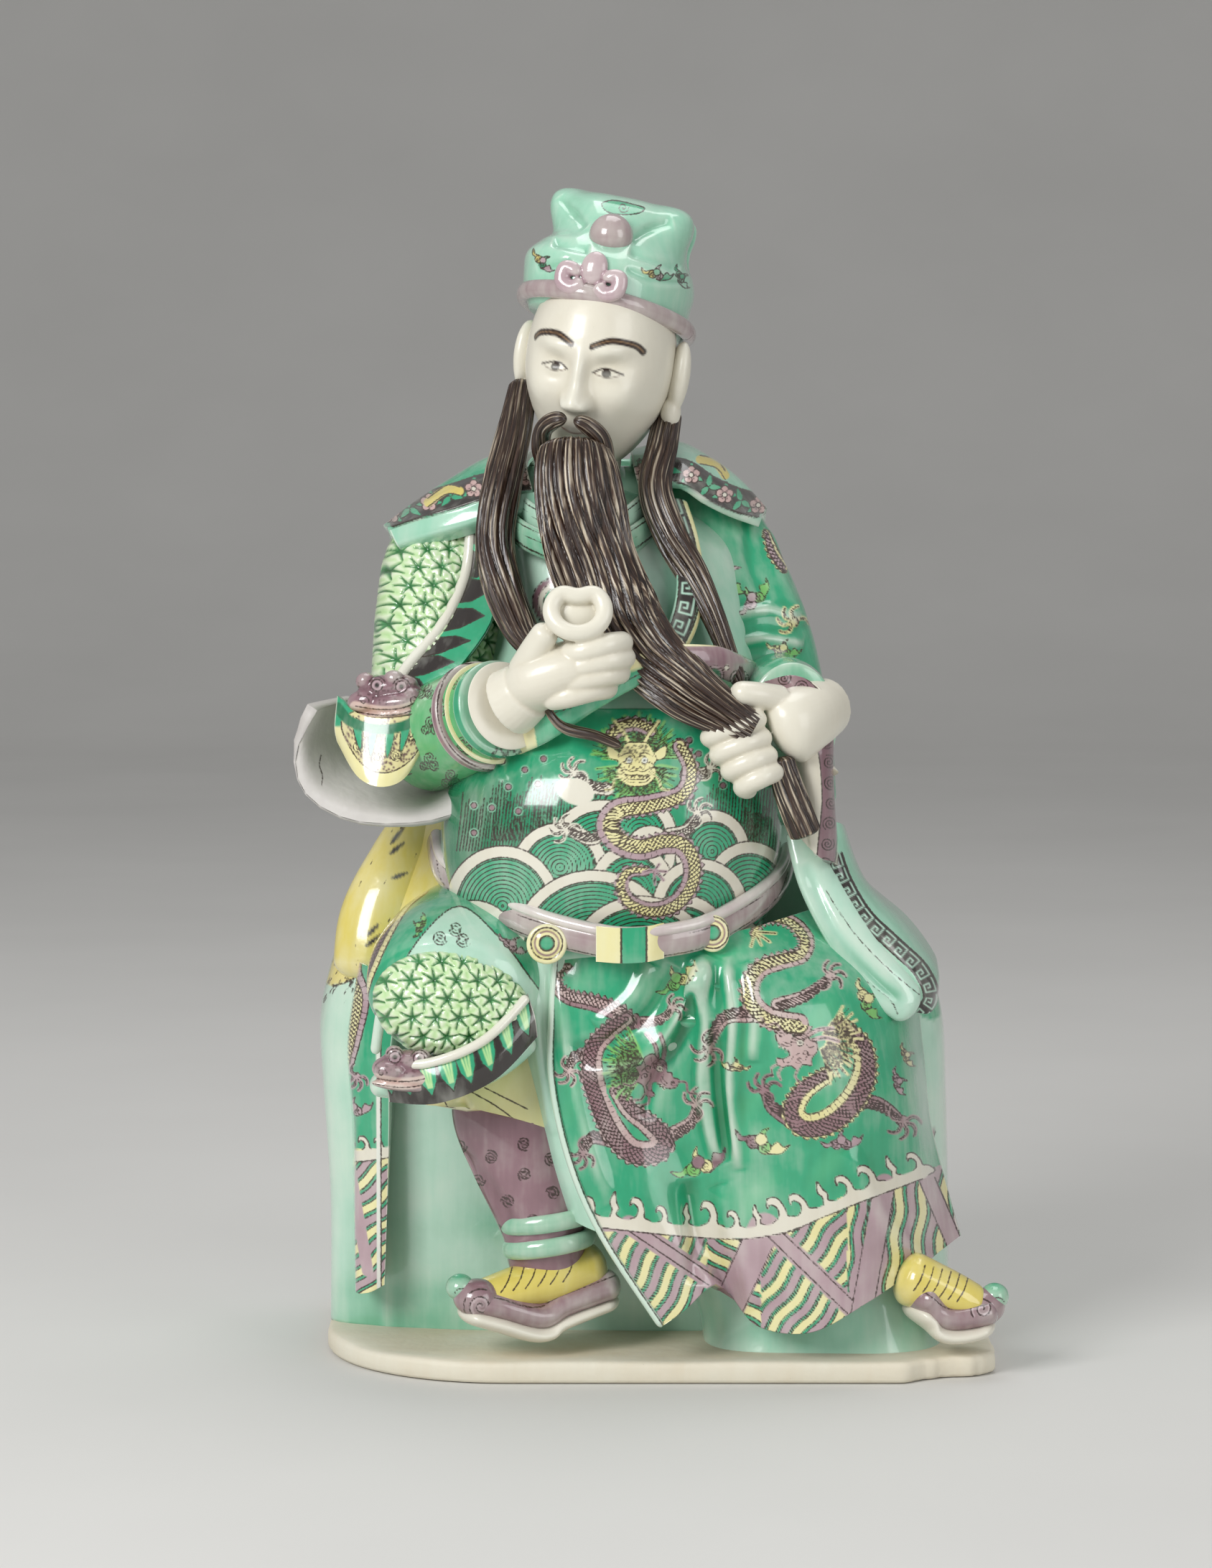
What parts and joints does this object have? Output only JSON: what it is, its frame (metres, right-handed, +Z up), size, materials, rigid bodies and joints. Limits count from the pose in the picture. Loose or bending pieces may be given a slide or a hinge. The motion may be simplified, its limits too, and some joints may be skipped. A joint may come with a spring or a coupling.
{
  "type": "porcelain figure",
  "caption": "Enamelled porcelain figure of a seated bearded official in armour and robes, drawing the beard through one hand, on a slab base with a broken corner.",
  "frame": {"origin": "centre of the bounding box in plan, at the height of the flat underside of the slab", "axes": "+X to the viewer's right, +Y to the figure's back, +Z up"},
  "size_m": [0.291, 0.2056, 0.4812],
  "materials": {
    "enamelled_porcelain": "coloured lead glazes over fired biscuit: glossy greens, aubergine and yellow, cream unglazed face, hands and slab"
  },
  "bodies": {
    "root": {"figure": "enamelled_porcelain"}
  },
  "joints": []
}
